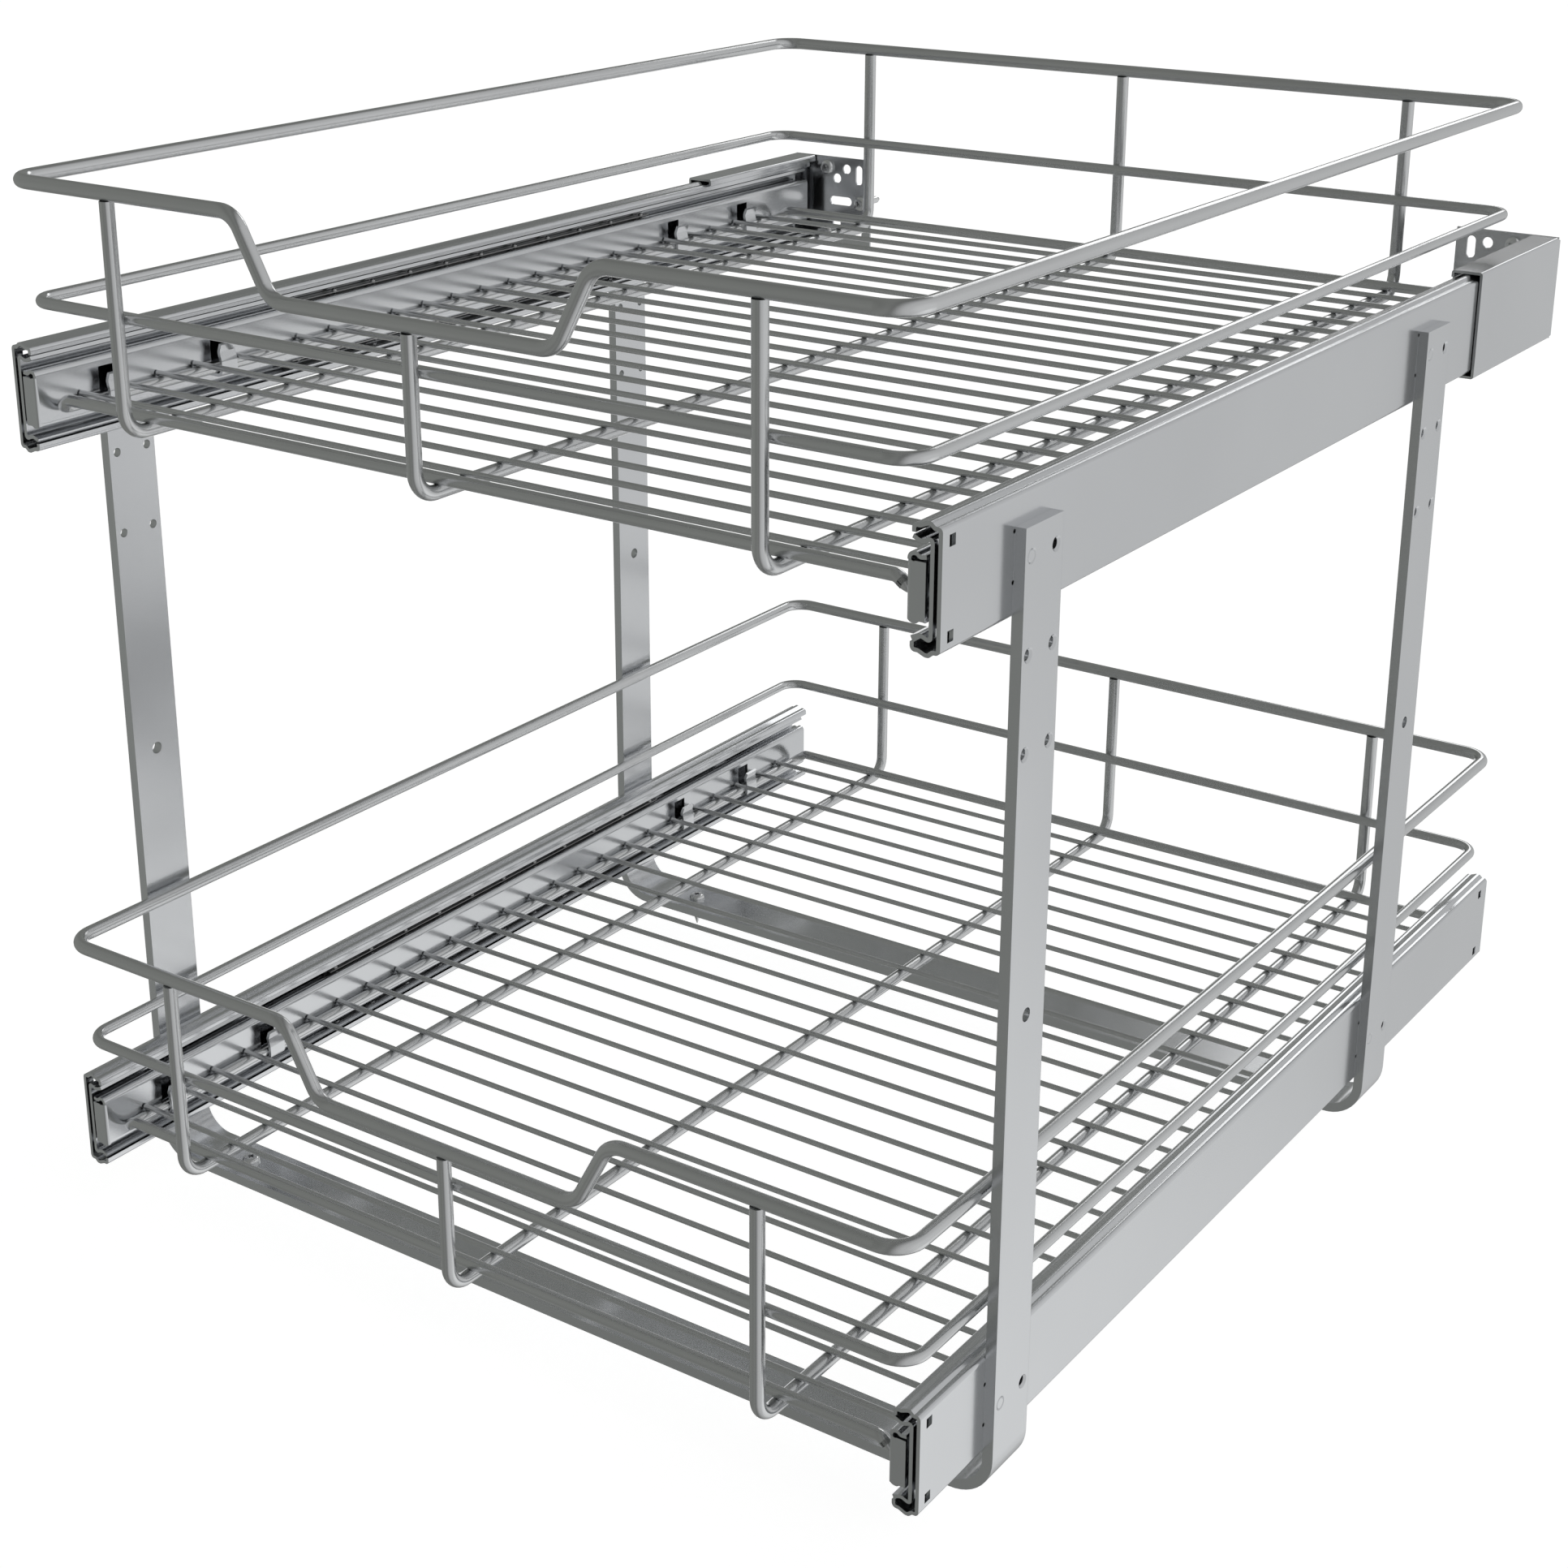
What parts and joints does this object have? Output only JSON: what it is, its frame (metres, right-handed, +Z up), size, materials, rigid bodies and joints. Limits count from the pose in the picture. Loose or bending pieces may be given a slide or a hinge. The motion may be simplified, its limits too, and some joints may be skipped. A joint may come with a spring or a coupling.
{
  "type": "pull-out cabinet organizer",
  "caption": "Wire baskets on telescopic ball-bearing slides, held one above the other by flat-bar hoops, with rear brackets, for pulling goods out of a cabinet.",
  "frame": {"origin": "bottom centre of the bounding box, level with the tips of the base screws", "axes": "+X to the right seen from the front, +Y to the rear of the cabinet, +Z up; the baskets pull out along -Y"},
  "size_m": [0.44, 0.5792, 0.4694],
  "materials": {
    "slide_steel": "zinc-plated, satin",
    "hoop_steel": "zinc-plated, satin",
    "wire_steel": "plated wire, soft sheen",
    "screw_steel": "plated",
    "cage_steel": "bare sheet",
    "ball_steel": "polished"
  },
  "bodies": {
    "frame": {"front_hoop": "hoop_steel", "rear_hoop": "hoop_steel", "base_screws": "screw_steel", "slide_rivets": "hoop_steel", "upper_left_outer_rail": "slide_steel", "upper_right_outer_rail": "slide_steel", "lower_left_outer_rail": "slide_steel", "lower_right_outer_rail": "slide_steel"},
    "upper_middle_rails": {"upper_left_middle_rail": "slide_steel", "upper_right_middle_rail": "slide_steel"},
    "upper_outer_cages": {"upper_left_outer_cage": "cage_steel", "upper_right_outer_cage": "cage_steel", "upper_outer_balls": "ball_steel"},
    "upper_inner_cages": {"upper_left_inner_cage": "cage_steel", "upper_right_inner_cage": "cage_steel", "upper_inner_balls": "ball_steel"},
    "upper_basket": {"upper_left_inner_rail": "slide_steel", "upper_right_inner_rail": "slide_steel", "upper_top_rail": "wire_steel", "upper_mid_rail": "wire_steel", "upper_floor_ring": "wire_steel", "upper_long_wires": "wire_steel", "upper_cross_wires": "wire_steel"},
    "lower_middle_rails": {"lower_left_middle_rail": "slide_steel", "lower_right_middle_rail": "slide_steel"},
    "lower_outer_cages": {"lower_left_outer_cage": "cage_steel", "lower_right_outer_cage": "cage_steel", "lower_outer_balls": "ball_steel"},
    "lower_inner_cages": {"lower_left_inner_cage": "cage_steel", "lower_right_inner_cage": "cage_steel", "lower_inner_balls": "ball_steel"},
    "lower_basket": {"lower_left_inner_rail": "slide_steel", "lower_right_inner_rail": "slide_steel", "lower_top_rail": "wire_steel", "lower_mid_rail": "wire_steel", "lower_floor_ring": "wire_steel", "lower_long_wires": "wire_steel", "lower_cross_wires": "wire_steel"},
    "left_bracket": {"left_bracket": "hoop_steel", "left_bracket_screws": "screw_steel"},
    "right_bracket": {"right_bracket": "hoop_steel", "right_bracket_screws": "screw_steel"}
  },
  "joints": [
    {"name": "upper_basket_slide", "type": "slide", "parent": "frame", "child": "upper_basket", "axis": [0, -1, 0], "range_m": [0, 0.55]},
    {"name": "upper_middle_rails_slide", "type": "slide", "parent": "frame", "child": "upper_middle_rails", "axis": [0, -1, 0], "range_m": [0, 0.275]},
    {"name": "upper_outer_cages_slide", "type": "slide", "parent": "frame", "child": "upper_outer_cages", "axis": [0, -1, 0], "range_m": [0, 0.1375]},
    {"name": "upper_inner_cages_slide", "type": "slide", "parent": "frame", "child": "upper_inner_cages", "axis": [0, -1, 0], "range_m": [0, 0.4125]},
    {"name": "lower_basket_slide", "type": "slide", "parent": "frame", "child": "lower_basket", "axis": [0, -1, 0], "range_m": [0, 0.55]},
    {"name": "lower_middle_rails_slide", "type": "slide", "parent": "frame", "child": "lower_middle_rails", "axis": [0, -1, 0], "range_m": [0, 0.275]},
    {"name": "lower_outer_cages_slide", "type": "slide", "parent": "frame", "child": "lower_outer_cages", "axis": [0, -1, 0], "range_m": [0, 0.1375]},
    {"name": "lower_inner_cages_slide", "type": "slide", "parent": "frame", "child": "lower_inner_cages", "axis": [0, -1, 0], "range_m": [0, 0.4125]},
    {"name": "left_bracket_slide", "type": "slide", "parent": "frame", "child": "left_bracket", "axis": [0, 1, 0], "range_m": [0, 0.06]},
    {"name": "right_bracket_slide", "type": "slide", "parent": "frame", "child": "right_bracket", "axis": [0, 1, 0], "range_m": [0, 0.06]}
  ],
  "couplings": [
    {"joint": "upper_middle_rails_slide", "follows": "upper_basket_slide", "ratio": 0.5},
    {"joint": "upper_outer_cages_slide", "follows": "upper_basket_slide", "ratio": 0.25},
    {"joint": "upper_inner_cages_slide", "follows": "upper_basket_slide", "ratio": 0.75},
    {"joint": "lower_middle_rails_slide", "follows": "lower_basket_slide", "ratio": 0.5},
    {"joint": "lower_outer_cages_slide", "follows": "lower_basket_slide", "ratio": 0.25},
    {"joint": "lower_inner_cages_slide", "follows": "lower_basket_slide", "ratio": 0.75}
  ]
}
